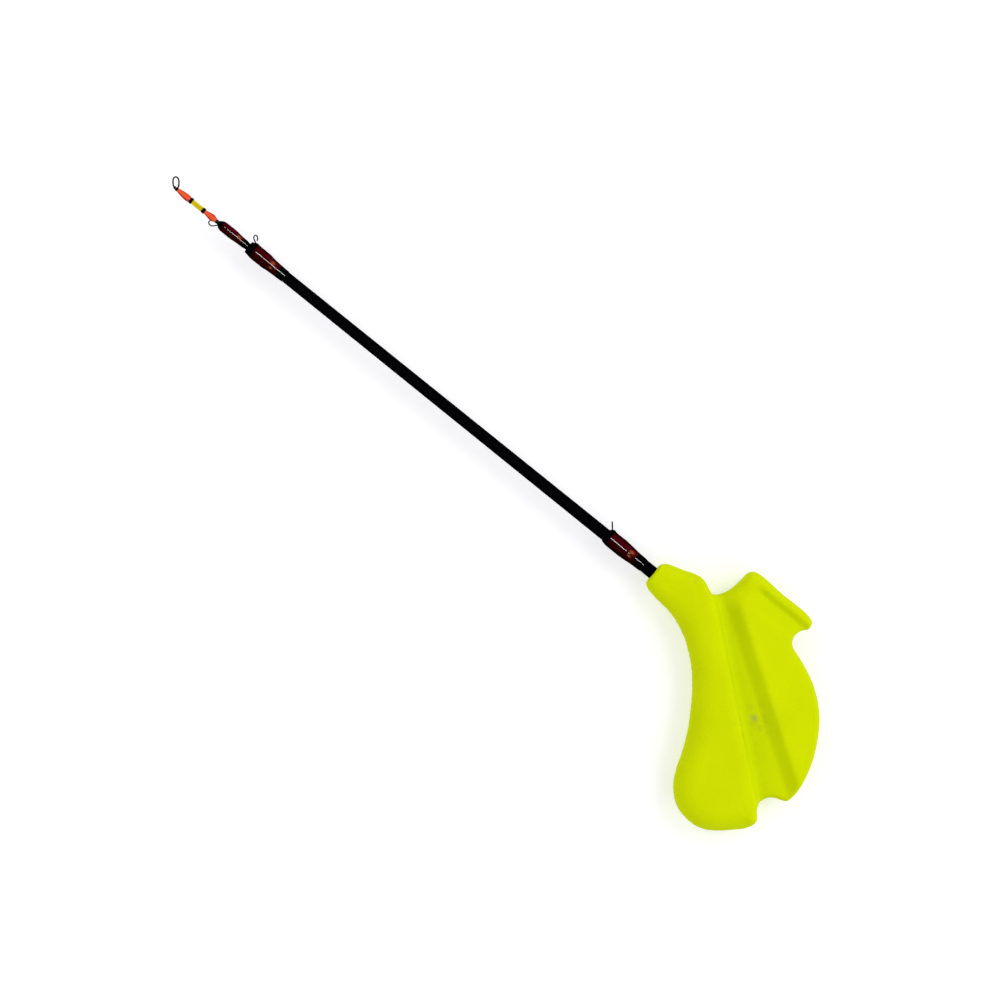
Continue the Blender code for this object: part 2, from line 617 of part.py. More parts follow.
FOAM = new_material("foam_yellow", (0.66, 0.82, 0.004), 0.75)
GLUE = new_material("adhesive", (0.75, 0.70, 0.55), 0.4)
BLANK_BLACK = new_material("blank_black", (0.006, 0.006, 0.007), 0.4)
RED_THREAD = new_material("thread_red", (0.10, 0.004, 0.008), 0.6)
BLACK_THREAD = new_material("thread_black", (0.004, 0.004, 0.004), 0.6)
CLEAR_EPOXY = new_material("epoxy_clear", (0.35, 0.10, 0.10), 0.08)
STEEL_WIRE = new_material("wire_steel", (0.06, 0.06, 0.065), 0.35, 0.9)
SPRING_WIRE = new_material("spring_wire", (0.02, 0.02, 0.02), 0.35, 0.8)
NOD_RED = new_material("nod_red", (0.80, 0.07, 0.03), 0.45)
NOD_YELLOW = new_material("nod_yellow", (0.66, 0.47, 0.004), 0.45)
NOD_BLACK = new_material("nod_black", (0.004, 0.004, 0.004), 0.5)

MOUTH = new_empty("mouth", (-REST_POINT[0], -REST_POINT[1], SLAB_HALF))
ROD = new_empty("rod_axis", (0, 0, 0), (0, math.radians(-90), 0), MOUTH)
PIVOT = new_empty("nod_pivot", (0, 0, FLEX_AT), parent=ROD)
NOD = new_empty("nod_stations", (0, 0, -FLEX_AT), parent=PIVOT)

handle_body(MOUTH)
rod()
wrap("lower", LOWER_FROM, LOWER_LENGTHS, LOWER_COAT, LOWER_EXIT, GUIDE_LOOP, LOWER_TURN)
wrap("middle", MIDDLE_FROM, MIDDLE_LENGTHS, MIDDLE_COAT, MIDDLE_EXIT, MIDDLE_LOOP, MIDDLE_TURN)
wrap("tip", TIP_FROM, TIP_LENGTHS, TIP_COAT, TIP_EXIT, TIP_LOOP, TIP_TURN, COAT_END)
nod(NOD)
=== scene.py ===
"""Looks of the ice fishing rod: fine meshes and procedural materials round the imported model.

The outline of the handle and the profiles of the turned pieces are read from the model's nodes.
What is finer than the model, such as the grain of the foam, the windings under the coats and the
mound at each guide, is named here, and so is the relief of the handle.
Metres, +Z up. The rod lies along X, with its tip at -X and its guides on the +Y side.
"""

import math

import bmesh
import bpy
import numpy as np
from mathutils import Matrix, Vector, noise
from mathutils.geometry import delaunay_2d_cdt


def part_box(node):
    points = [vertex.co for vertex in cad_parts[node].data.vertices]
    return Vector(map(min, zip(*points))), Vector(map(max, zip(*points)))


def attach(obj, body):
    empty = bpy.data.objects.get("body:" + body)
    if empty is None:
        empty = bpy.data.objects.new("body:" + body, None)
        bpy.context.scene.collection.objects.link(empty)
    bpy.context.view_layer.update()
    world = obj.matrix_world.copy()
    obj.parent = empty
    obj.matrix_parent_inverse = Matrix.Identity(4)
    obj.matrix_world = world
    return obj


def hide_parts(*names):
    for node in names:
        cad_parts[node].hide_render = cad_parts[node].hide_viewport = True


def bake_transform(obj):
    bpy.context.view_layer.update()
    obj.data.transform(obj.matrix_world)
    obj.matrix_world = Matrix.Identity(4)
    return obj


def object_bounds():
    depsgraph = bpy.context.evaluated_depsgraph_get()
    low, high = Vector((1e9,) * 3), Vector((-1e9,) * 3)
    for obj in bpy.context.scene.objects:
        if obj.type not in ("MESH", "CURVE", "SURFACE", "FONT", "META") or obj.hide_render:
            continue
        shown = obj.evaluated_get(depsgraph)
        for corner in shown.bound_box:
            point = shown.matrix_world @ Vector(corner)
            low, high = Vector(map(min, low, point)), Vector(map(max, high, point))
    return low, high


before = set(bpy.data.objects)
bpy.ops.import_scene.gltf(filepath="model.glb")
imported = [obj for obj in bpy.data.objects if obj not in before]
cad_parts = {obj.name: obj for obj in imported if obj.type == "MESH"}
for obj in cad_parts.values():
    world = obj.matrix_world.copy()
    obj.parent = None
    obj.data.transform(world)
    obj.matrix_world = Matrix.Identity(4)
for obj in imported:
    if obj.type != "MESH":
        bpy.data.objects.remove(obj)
cad_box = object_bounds()

MM = 0.001
axis_low, axis_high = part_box("blank_tube")
AXIS = Vector((0, (axis_low.y + axis_high.y) / 2, (axis_low.z + axis_high.z) / 2))

# Handle: the model's relief in the rod's frame, with softer walls to its channel. Heights are
# from its middle plane. "Across" is measured from the ridge, which starts near the mouth.
SLAB_HALF = 11.5 * MM
NECK_HALF = 6.6 * MM  # at the mouth
NECK_TAPER = 32 * MM  # how far from the mouth it reaches the slab's height
FLOOR_HALF = 6.0 * MM  # the channel's floor
LOBE_FALL, LOBE_LEAST, LOBE_CREST = 0.16, 6.2 * MM, 11.9 * MM
GRIP_ROUND, LOBE_ROUND, MOUTH_ROUND = 11 * MM, 2.8 * MM, 1.3 * MM
EDGE_POWER = 2.2  # 2 makes the rounded edges circular
GRIP_FADE = (-9 * MM, -2 * MM)  # across: the grip's rounding gives way to the lobe's
RIDGE_START = (-38.1 * MM, 39.4 * MM)
RIDGE_ANGLE = math.radians(-39.5)
CHANNEL_WIDTH, CHANNEL_SPREAD = 7.3 * MM, 0.111
LEFT_WALL, RIGHT_WALL = 3.2 * MM, 8.6 * MM
# The horn has a groove, with a bead along its outer edge.
VALLEY_FROM, VALLEY_AT, BEAD_AT = 45 * MM, 54.4 * MM, 58 * MM
VALLEY_DEPTH, BEAD_RISE = 3.3 * MM, 3.0 * MM
VALLEY_FADE = (-29 * MM, -20 * MM)  # where it starts along the rod
DIP_CENTRE, DIP_RADIUS, DIP_DEPTH = (-35.5 * MM, 47 * MM), 13 * MM, 4.6 * MM

OUTLINE_STEP = 0.45 * MM
EDGE_ROWS = [s * MM for s in (0.03, 0.12, 0.27, 0.48, 0.75, 1.1, 1.5, 2.0, 2.6, 3.3)]
GRID_STEP = 0.75 * MM
GRID_LEAST = 0.8  # least gap between the grid and the rows, as a share of its step
ROW_FOLD = 0.96  # least distance of a row's point from the edge, as a share of its inset
GRAIN = ((5.5 * MM, 0.030 * MM), (1.6 * MM, 0.022 * MM))  # size and height of the foam's grain
GRAIN_FROM = 1.5 * MM  # from the edge
NIBBLE, NIBBLE_SIZE = 0.28 * MM, 2.0 * MM  # trimmed edge of the grip's hollow front
NIBBLE_FINER, NIBBLE_FINE = 2.5, 0.4  # smaller bites: how many times smaller, and their share
NIBBLE_SIDE = (-14 * MM, -3 * MM)  # across: it fades out towards the lobe
NIBBLE_FROM = 12 * MM  # from the mouth
LIP_GAP, LIP_LENGTH, LIP_CONE = 0.06 * MM, 1.1 * MM, 0.5 * MM  # foam round the blank at the mouth
BORE_GAP = 0.1 * MM  # round the glue
RIM_WIDTH, RIM_LENGTH = 0.2 * MM, 2 * MM  # beside the bore and in from the mouth: its rim
CREASE = math.radians(50)
DENT_AT, DENT_ACROSS, DENT_DEPTH = (12.7 * MM, 6.4 * MM), 0.9 * MM, 0.25 * MM
SMUDGE_HEIGHT, SMUDGE_RADIUS, SMUDGE_STRETCH = 18 * MM, 3.6 * MM, (1.0, 1.5, 0.3)
RIDGE_LIGHT_SIDE = 14 * MM  # how far to each side of the ridge the painted light and shade reach: a painted highlight on the ridge, painted shade in the channel
SCUFF_AT, SCUFF_RADIUS = (14 * MM, 4 * MM, 17.5 * MM), 16 * MM
SCUFF_STRETCH = (1.0, 1.0, 0.3)

# Turned pieces and wires
ROUND = 96  # sides of the turned pieces
ALONG_STEP = 0.22 * MM
SHARP = math.radians(40)
BORE_LEAST = 0.2 * MM  # a turned piece with a smaller bore is closed
WAVE_SIZE = 2 * MM
GUIDE_SWELL, RING_SWELL = 0.04 * MM, 0.12 * MM
NECK_RADIUS = 0.98 * MM  # soft black neck of the spring wire
NECK_START = (0.3 * MM, 0.2 * MM)  # inside the tip's coat
NECK_END = (0.02 * MM, 0.1 * MM)  # inside the rear sleeve

# Wraps
GUIDE_FOOT = 9 * MM
SMOOTHING = 2.2 * MM
THREAD_PITCH = 0.28 * MM
THREAD_STEPS = 5  # rows of the mesh for each turn of thread
THREAD_RISE = 0.035 * MM
THREAD_LEAST = 0.08 * MM
EPOXY = 0.12 * MM
COAT_LAP = 0.02 * MM  # the coat's inner face over the thread
COAT_SHADE_SIDE = 4.2 * MM  # how far to each side of the rod's axis the coat's painted shade and light reach: black at its edges, brightest towards +Y
END_FADE, END_HEIGHT, END_POWER = 3.2 * MM, 0.14 * MM, 1.5  # it thins out to the rod at the rear
CAP_LEAST, CAP_GAP = 0.2 * MM, 0.05 * MM  # a coat that runs this far past its thread is a cap
SAG, SAG_ROUND, SAG_SIZE = 0.05 * MM, 3 * MM, 5 * MM
TRIM_BLUR, TRIM_UNEVEN = 0.25 * MM, 0.3 * MM  # where a black trim meets the red
# Shape and strength of the painted warm highlights on the coats.
GLINT_STRETCH, GLINT_STRENGTH = (0.6, 1.0, 0.3), 0.8
BLUNT_FROM, BLUNT_RADIUS, BLUNT_POWER = 1.5 * MM, 1.9 * MM, 3.2  # front end of the tip's coat
FOOT_RIDGE, FOOT_SPREAD = 0.16 * MM, math.radians(26)
FOOT_FADE = 2 * MM
MOUND_RISE, MOUND_ALONG, MOUND_ROUND = 0.55 * MM, 1.3 * MM, math.radians(20)

# Camera and light
LENS, SENSOR, CLIP_END = 100, 36, 20
CAMERA_OVER = 1.3333  # from the rod's axis
CAMERA_AT = (-0.1472, 0.0112)
CAMERA_TURN = math.radians(38.87)
FLOOR_REACH, FLOOR_GAP, FLOOR_GLOW = 3, 0.1 * MM, 0.40
LAMP_AWAY, LAMP_SIZE = 2.2, (1.2, 1.2)
GLINT_AWAY, GLINT_SIZE = 1.9, (0.95, 0.16)
WORLD_LIGHT = 0.66


# ---- helpers


def smoothstep(low, high, value):
    t = np.clip((value - low) / (high - low), 0, 1)
    return t * t * (3 - 2 * t)


def smooth_path(points, step, closed=False):
    """Points every step or so along a centripetal Catmull-Rom curve through the given ones."""
    points = [np.array(p, float) for p in points]
    if closed:
        points = [points[-1], *points, points[0], points[1]]
    else:
        points = [2 * points[0] - points[1], *points, 2 * points[-1] - points[-2]]
    path = []
    for a, b, c, d in zip(points, points[1:], points[2:], points[3:]):
        before, here, after = (
            math.sqrt(np.linalg.norm(q - p)) for p, q in ((a, b), (b, c), (c, d)))
        leave = c - b + here * ((b - a) / before - (c - a) / (before + here))
        arrive = c - b + here * ((d - c) / after - (d - b) / (here + after))
        for t in np.linspace(0, 1, max(1, math.ceil(np.linalg.norm(c - b) / step)), endpoint=False):
            path.append(
                (1 + 2 * t) * (1 - t) ** 2 * b + t * (1 - t) ** 2 * leave
                + t * t * (3 - 2 * t) * c - t * t * (1 - t) * arrive
            )
    if not closed:
        path.append(points[-2])
    return np.array(path)


def grain_at(place, size):
    return noise.noise(Vector(place) / size)


def node_mesh(node):
    """A copy of a CAD node's mesh with its split corners welded, as a bmesh."""
    work = bmesh.new()
    work.from_mesh(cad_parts[node].data)
    bmesh.ops.remove_doubles(work, verts=work.verts, dist=1e-6)
    return work


def new_piece(name, mesh, material, body, nodes=()):
    """A visible piece that rides on a body and stands for CAD nodes."""
    piece = bpy.data.objects.new(name, mesh)
    bpy.context.scene.collection.objects.link(piece)
    mesh.materials.clear()
    mesh.materials.append(material)
    mesh.shade_smooth()
    if body:
        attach(piece, body)
    if nodes:
        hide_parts(*nodes)
    return piece


def applied(piece):
    """The piece's mesh with its modifiers applied, which it keeps."""
    bpy.context.view_layer.update()
    shown = piece.evaluated_get(bpy.context.evaluated_depsgraph_get())
    mesh = bpy.data.meshes.new_from_object(shown)
    piece.modifiers.clear()
    piece.data = mesh
    return mesh


# ---- materials


class Shader:
    """A Principled material whose sockets can be set, or fed by small chains of nodes."""

    def __init__(self, name, colour, roughness, **sockets):
        self.material = bpy.data.materials.new(name)
        self.material.use_nodes = True
        self.nodes = self.material.node_tree.nodes
        self.links = self.material.node_tree.links
        self.principled = self.nodes["Principled BSDF"]
        self.set("Base Color", (*colour, 1))
        self.set("Roughness", roughness)
        for socket, value in sockets.items():
            self.set(socket.replace("_", " "), value)
        self.place = self.add("ShaderNodeTexCoord").outputs["Object"]

    def add(self, kind, **settings):
        node = self.nodes.new(kind)
        for key, value in settings.items():
            if key in node.inputs:
                node.inputs[key].default_value = value
            else:
                setattr(node, key, value)
        return node

    def set(self, socket, value):
        self.principled.inputs[socket].default_value = value

    def feed(self, socket, output):
        self.links.new(output, self.principled.inputs[socket])

    def stretched(self, scale):
        """The place on the piece, scaled along each axis."""
        mapping = self.add("ShaderNodeMapping")
        mapping.inputs["Scale"].default_value = scale
        self.links.new(self.place, mapping.inputs["Vector"])
        return mapping.outputs["Vector"]

    def noise(self, scale, detail=3.0, vector=None):
        node = self.add("ShaderNodeTexNoise", Scale=scale, Detail=detail)
        self.links.new(vector or self.place, node.inputs["Vector"])
        return node.outputs["Fac"]

    def voronoi(self, scale):
        node = self.add("ShaderNodeTexVoronoi", Scale=scale)
        self.links.new(self.place, node.inputs["Vector"])
        return node.outputs["Distance"]

    def ramp(self, factor, *stops):
        """A colour for each stop of (factor, colour)."""
        node = self.add("ShaderNodeValToRGB")
        stops_of = node.color_ramp.elements
        while len(stops_of) < len(stops):
            stops_of.new(0.5)
        for element, (at, colour) in zip(stops_of, stops):
            element.position, element.color = at, (*colour, 1)
        self.links.new(factor, node.inputs["Fac"])
        return node.outputs["Color"]

    def scaled(self, value, low, high):
        """Turns 0..1 into low..high."""
        node = self.add("ShaderNodeMapRange")
        node.inputs["To Min"].default_value = low
        node.inputs["To Max"].default_value = high
        self.links.new(value, node.inputs["Value"])
        return node.outputs["Result"]

    def mixed(self, factor, one, two, blend="MIX"):
        node = self.add("ShaderNodeMix", data_type="RGBA", blend_type=blend)
        for socket, value in (("Factor_Float", factor), ("A_Color", one), ("B_Color", two)):
            target = next(i for i in node.inputs if i.identifier == socket)
            if isinstance(value, bpy.types.NodeSocket):
                self.links.new(value, target)
            else:
                target.default_value = (*value, 1) if isinstance(value, tuple) else value
        return next(o for o in node.outputs if o.identifier == "Result_Color")

    def near(self, place, radius, stretch=(1, 1, 1)):
        """1 at a place on the piece, falling to 0 at a radius from it."""
        mapping = self.add("ShaderNodeMapping")
        mapping.inputs["Location"].default_value = [-p * s for p, s in zip(place, stretch)]
        mapping.inputs["Scale"].default_value = stretch
        length = self.add("ShaderNodeVectorMath", operation="LENGTH")
        fall = self.add("ShaderNodeMapRange", interpolation_type="SMOOTHSTEP")
        fall.inputs["From Max"].default_value = radius
        fall.inputs["To Min"].default_value = 1
        fall.inputs["To Max"].default_value = 0
        self.links.new(self.place, mapping.inputs["Vector"])
        self.links.new(mapping.outputs["Vector"], length.inputs[0])
        self.links.new(length.outputs["Value"], fall.inputs["Value"])
        return fall.outputs["Result"]

    def along(self, direction, start, end):
        """0 to 1 along a direction, between two distances from the origin."""
        dot = self.add("ShaderNodeVectorMath", operation="DOT_PRODUCT")
        dot.inputs[1].default_value = direction
        share = self.add("ShaderNodeMapRange")
        share.inputs["From Min"].default_value = start
        share.inputs["From Max"].default_value = end
        self.links.new(self.place, dot.inputs[0])
        self.links.new(dot.outputs["Value"], share.inputs["Value"])
        return share.outputs["Result"]

    def times(self, one, two, operation="MULTIPLY"):
        node = self.add("ShaderNodeMath", operation=operation)
        for socket, value in zip(node.inputs, (one, two)):
            if isinstance(value, bpy.types.NodeSocket):
                self.links.new(value, socket)
            else:
                socket.default_value = value
        return node.outputs["Value"]

    def bump(self, *heights, strength=1.0, socket="Normal"):
        """Feeds a normal with pairs of (height, depth in metres), one on the other."""
        normal = None
        for height, depth in heights:
            node = self.add("ShaderNodeBump", Strength=strength, Distance=depth)
            self.links.new(height, node.inputs["Height"])
            if normal:
                self.links.new(normal, node.inputs["Normal"])
            normal = node.outputs["Normal"]
        self.feed(socket, normal)


def foam():
    """Fluorescent closed-cell foam with a skin of fine cells, with a smudge and scuffs in its
    channel, and with a painted highlight along the ridge and painted shade in the channel."""
    shader = Shader("foam_yellow", (0.66, 0.79, 0.0), 0.85, Specular_IOR_Level=0.03)
    cells = shader.voronoi(1900)
    patches = shader.noise(55, 4.0)
    colour = shader.ramp(patches, (0.30, (0.655, 0.775, 0.0)), (0.70, (0.695, 0.82, 0.0)))
    speckle = shader.noise(1400, 2.0)
    grime = shader.ramp(speckle, (0.42, (0.95, 0.95, 0.9)), (0.60, (1.0, 1.0, 1.0)))
    colour = shader.mixed(0.6, colour, grime, "MULTIPLY")
    smudge = shader.near((*DENT_AT, SMUDGE_HEIGHT), SMUDGE_RADIUS, SMUDGE_STRETCH)
    colour = shader.mixed(shader.times(smudge, shader.noise(420, 3.0)), colour, (0.30, 0.33, 0.10))
    scuffs = shader.near(SCUFF_AT, SCUFF_RADIUS, SCUFF_STRETCH)
    rubbed = shader.ramp(shader.noise(260, 4.0), (0.50, (0, 0, 0)), (0.72, (0.55, 0.55, 0.55)))
    colour = shader.mixed(shader.times(scuffs, rubbed), colour, (0.42, 0.50, 0.02))
    cos, sin = math.cos(RIDGE_ANGLE), math.sin(RIDGE_ANGLE)
    start = RIDGE_START[1] * cos - RIDGE_START[0] * sin
    # Painted light and shade across the ridge: paler on the ridge, darker in the channel.
    painted_ridge_light = shader.ramp(
        shader.along((-sin, cos, 0), start - RIDGE_LIGHT_SIDE, start + RIDGE_LIGHT_SIDE),
        (0.26, (0.93, 0.93, 1)), (0.47, (1.0, 1.0, 1)), (0.53, (0.98, 0.98, 1)),
        (0.66, (0.85, 0.85, 1)), (0.80, (0.88, 0.88, 1)), (1.0, (0.94, 0.94, 1)))
    colour = shader.mixed(1.0, colour, painted_ridge_light, "MULTIPLY")
    shader.feed("Base Color", colour)
    shader.feed("Roughness", shader.scaled(speckle, 0.78, 0.92))
    shader.bump((cells, 0.00003), (shader.noise(700, 3.0), 0.00005), strength=0.6)
    return shader.material


def blank_black():
    """Ground blank: near-black, with the faint marks that its wrapping tape left."""
    shader = Shader("blank_black", (0.0010, 0.0010, 0.0016), 0.5, Specular_IOR_Level=0.008)
    tape = shader.add("ShaderNodeTexWave", Scale=260, Distortion=1.2, Detail=1.5)
    shader.links.new(shader.place, tape.inputs["Vector"])
    fine = shader.noise(1.0, 3.0, shader.stretched((300, 2600, 2600)))
    colour = shader.ramp(fine, (0.3, (0.0005, 0.0005, 0.0009)), (0.8, (0.0016, 0.0016, 0.0030)))
    shader.feed("Base Color", colour)
    shader.feed("Roughness", shader.scaled(fine, 0.40, 0.55))
    shader.bump((tape.outputs["Fac"], 0.000012), (fine, 0.000008))
    return shader.material


def thread(name, dark, light):
    """Nylon thread: a satin sheen along each turn, and slightly uneven dye."""
    shader = Shader(name, light, 0.45, Specular_IOR_Level=0.35)
    turns = shader.noise(1.0, 3.0, shader.stretched((2500, 500, 500)))
    shader.feed("Base Color", shader.ramp(turns, (0.25, dark), (0.75, light)))
    shader.feed("Roughness", shader.scaled(turns, 0.35, 0.6))
    shader.bump((turns, 0.00002))
    return shader.material


def lacquered(wrap, red, painted_glints):
    """Thread seen through its glossy coat: red between black trims, with painted shade towards its
    sides and painted light towards +Y, and a few painted warm highlights where a lamp's reflection
    falls. red is from and to along the rod, towards the tip."""
    shader = Shader(f"coat_{wrap}", (0.06, 0.001, 0.003), 0.5, Specular_IOR_Level=0.0,
                    Coat_Weight=1.0, Coat_Roughness=0.04, Coat_IOR=1.5)
    turns = shader.noise(1.0, 3.0, shader.stretched((3400, 420, 420)))
    clouds = shader.noise(240, 2.0)
    dye = shader.ramp(turns, (0.3, (0.048, 0.0005, 0.0030)), (0.72, (0.120, 0.0035, 0.0095)))
    dye = shader.mixed(shader.scaled(clouds, 0.0, 0.7), dye, (0.040, 0.0004, 0.0020))
    # Painted shade and light across the rod: black where the coat is seen edge on, brightest
    # towards +Y, the lit side.
    depth = shader.ramp(
        shader.along((0, 1, 0), AXIS.y - COAT_SHADE_SIDE, AXIS.y + COAT_SHADE_SIDE),
        (0.04, (0.0, 0.0, 0.0)), (0.22, (0.30, 0.30, 0.30)), (0.50, (0.45, 0.45, 0.45)),
        (0.72, (1.0, 1.0, 1.0)), (0.90, (0.45, 0.45, 0.45)), (0.98, (0.05, 0.05, 0.05)))
    dye = shader.mixed(1.0, dye, depth, "MULTIPLY")
    # Painted warm highlights, where a lamp's reflection falls on the coat.
    for place, size in painted_glints:
        glint_mask = shader.near(place, size, GLINT_STRETCH)
        dye = shader.mixed(shader.times(glint_mask, GLINT_STRENGTH), dye, (0.42, 0.10, 0.02))
    split = shader.add("ShaderNodeSeparateXYZ")
    shader.links.new(shader.place, split.inputs[0])
    shift = shader.scaled(shader.noise(900, 1.0), -TRIM_UNEVEN, TRIM_UNEVEN)
    uneven = shader.times(shift, split.outputs["X"], "ADD")
    for edge, beyond in zip(red, (1, -1)):
        past = shader.add("ShaderNodeMapRange", interpolation_type="SMOOTHSTEP")
        past.inputs["From Min"].default_value = -edge - beyond * TRIM_BLUR
        past.inputs["From Max"].default_value = -edge + beyond * TRIM_BLUR
        shader.links.new(uneven, past.inputs["Value"])
        dye = shader.mixed(past.outputs["Result"], dye, (0.0012, 0.0010, 0.0012))
    shader.feed("Base Color", dye)
    shader.feed("Coat Roughness", shader.scaled(clouds, 0.03, 0.08))
    shader.bump((turns, 0.00002))
    shader.bump((shader.noise(330, 1.0), 0.00012), socket="Coat Normal")
    return shader.material


def metal(name, colour, roughness):
    """Drawn wire: dark, with lines along it and a little tarnish."""
    shader = Shader(name, colour, roughness, Metallic=0.5)
    lines = shader.noise(1800, 3.0)
    shader.feed("Base Color", shader.ramp(
        lines, (0.3, tuple(0.6 * c for c in colour)), (0.7, tuple(1.3 * c for c in colour))))
    shader.feed("Roughness", shader.scaled(lines, roughness - 0.1, roughness + 0.15))
    shader.bump((lines, 0.000006))
    return shader.material


def painted(name, colour, light, roughness, side, dark):
    """Soft fluorescent tube, with shallow waves from its mould, and with painted light and shade
    across it:
    its sides get the side colour, darker on the red and paler on the yellow.
    """
    shader = Shader(name, colour, roughness, Specular_IOR_Level=0.04)
    waves = shader.noise(1.0, 3.0, shader.stretched((260, 700, 700)))
    middle = shader.ramp(waves, (0.3, colour), (0.7, light))
    # Painted shade and light across the rod: the side colour at both sides, the tube's own colour
    # over the middle.
    depth = shader.ramp(
        shader.along((0, 1, 0), AXIS.y - side, AXIS.y + side),
        (0.08, (0, 0, 0)), (0.36, (1, 1, 1)), (0.70, (1, 1, 1)), (0.98, (0.1, 0.1, 0.1)))
    shader.feed("Base Color", shader.mixed(depth, dark, middle))
    shader.feed("Roughness", shader.scaled(waves, roughness - 0.06, roughness + 0.1))
    shader.bump((waves, 0.00003), (shader.noise(3500, 2.0), 0.000004))
    return shader.material


def glue():
    shader = Shader("adhesive", (0.75, 0.70, 0.55), 0.4)
    blots = shader.noise(300, 3.0)
    colour = shader.ramp(blots, (0.3, (0.68, 0.62, 0.46)), (0.7, (0.80, 0.76, 0.62)))
    shader.feed("Base Color", colour)
    shader.bump((blots, 0.00005))
    return shader.material


FOAM = foam()
BLANK = blank_black()
RED_THREAD = thread("thread_red", (0.10, 0.002, 0.006), (0.22, 0.008, 0.016))
BLACK_THREAD = thread("thread_black", (0.002, 0.002, 0.002), (0.006, 0.006, 0.007))
STEEL = metal("wire_steel", (0.036, 0.036, 0.038), 0.30)
SPRING = metal("spring_wire", (0.006, 0.005, 0.006), 0.45)
# The last colour of each nod material is painted light or shade at its sides.
NOD_RED = painted(
    "nod_red", (0.82, 0.075, 0.024), (0.92, 0.13, 0.035), 0.45, 1.6 * MM, (0.42, 0.010, 0.006))
NOD_YELLOW = painted(
    "nod_yellow", (0.60, 0.43, 0.002), (0.68, 0.50, 0.004), 0.5, 1.3 * MM, (0.75, 0.70, 0.02))
NOD_BLACK = painted(
    "nod_black", (0.0012,) * 3, (0.003,) * 3, 0.6, 1.7 * MM, (0.001,) * 3)
GLUE = glue()


# ---- handle


def ridge_coordinates(x, y):
    """Distances along the ridge and across it, towards the lobe."""
    dx, dy = x - RIDGE_START[0], y - RIDGE_START[1]
    cos, sin = math.cos(RIDGE_ANGLE), math.sin(RIDGE_ANGLE)
    return dx * cos + dy * sin, -dx * sin + dy * cos


def handle_outline():
    """The outline in the slab's middle plane, in order, without the rim of the blank's hole."""
    work = node_mesh("handle_body")
    low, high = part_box("handle_body")
    middle = (low.z + high.z) / 2
    level = {v for v in work.verts if abs(v.co.z - middle) < 1e-6}
    ways = {v: [e.other_vert(v) for e in v.link_edges if e.other_vert(v) in level] for v in level}
    start = min(level, key=lambda v: v.co.x + (1 if v.co.y < AXIS.y else 0))
    chain, last = [start], None
    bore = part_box("handle_adhesive")[1].y - AXIS.y + RIM_WIDTH
    while True:
        onward = [v for v in ways[chain[-1]] if v is not last and v not in chain]
        if not onward:
            break
        last = chain[-1]
        chain.append(max(onward, key=lambda v: v.co.y) if len(chain) == 1 else onward[0])
    points = [(v.co.x, v.co.y) for v in chain]
    work.free()
    return [p for p in points if p[0] > low.x + RIM_LENGTH or abs(p[1] - AXIS.y) > bore]


def nibbled(loop):
    """The outline with the small bites that trimming left along the grip's hollow front, and the
    way inward at each of its points."""
    tangent = np.roll(loop, -1, axis=0) - np.roll(loop, 1, axis=0)
    inward = np.column_stack([tangent[:, 1], -tangent[:, 0]])
    inward /= np.linalg.norm(inward, axis=1)[:, None]
    _, across = ridge_coordinates(*loop.T)
    share = 1 - smoothstep(*NIBBLE_SIDE, across)
    share *= smoothstep(0, NIBBLE_FROM, loop[:, 0] - loop[:, 0].min())
    bites = np.array([
        abs(grain_at((*p, 0), NIBBLE_SIZE))
        + NIBBLE_FINE * grain_at((*p, 1), NIBBLE_SIZE / NIBBLE_FINER)
        for p in loop
    ])
    return loop + inward * (NIBBLE * share * bites)[:, None], inward


def distance_to(points, path):
    """How far each point is from an open path."""
    start, along = path[:-1], np.diff(path, axis=0)
    found = []
    for part in np.array_split(points, max(1, len(points) // 1500)):
        offset = part[:, None] - start[None]
        share = np.clip((offset * along).sum(-1) / (along ** 2).sum(-1), 0, 1)
        found.append(np.linalg.norm(offset - share[..., None] * along, axis=-1).min(1))
    return np.concatenate(found)


def is_inside(points, loop):
    """Which points a closed outline holds, by counting crossings to their right."""
    x, y = points[:, 0, None], points[:, 1, None]
    (x0, y0), (x1, y1) = loop.T, np.roll(loop, -1, axis=0).T
    spans = (y0 > y) != (y1 > y)
    crossing = x0 + (y - y0) * (x1 - x0) / np.where(y1 == y0, 1, y1 - y0)
    return (spans & (x < crossing)).sum(1) % 2 == 1


def rounded(distance, radius):
    """Share of the full height at a distance from an edge that is rounded over a radius."""
    return (1 - np.clip(1 - distance / radius, 0, 1) ** EDGE_POWER) ** (1 / EDGE_POWER)


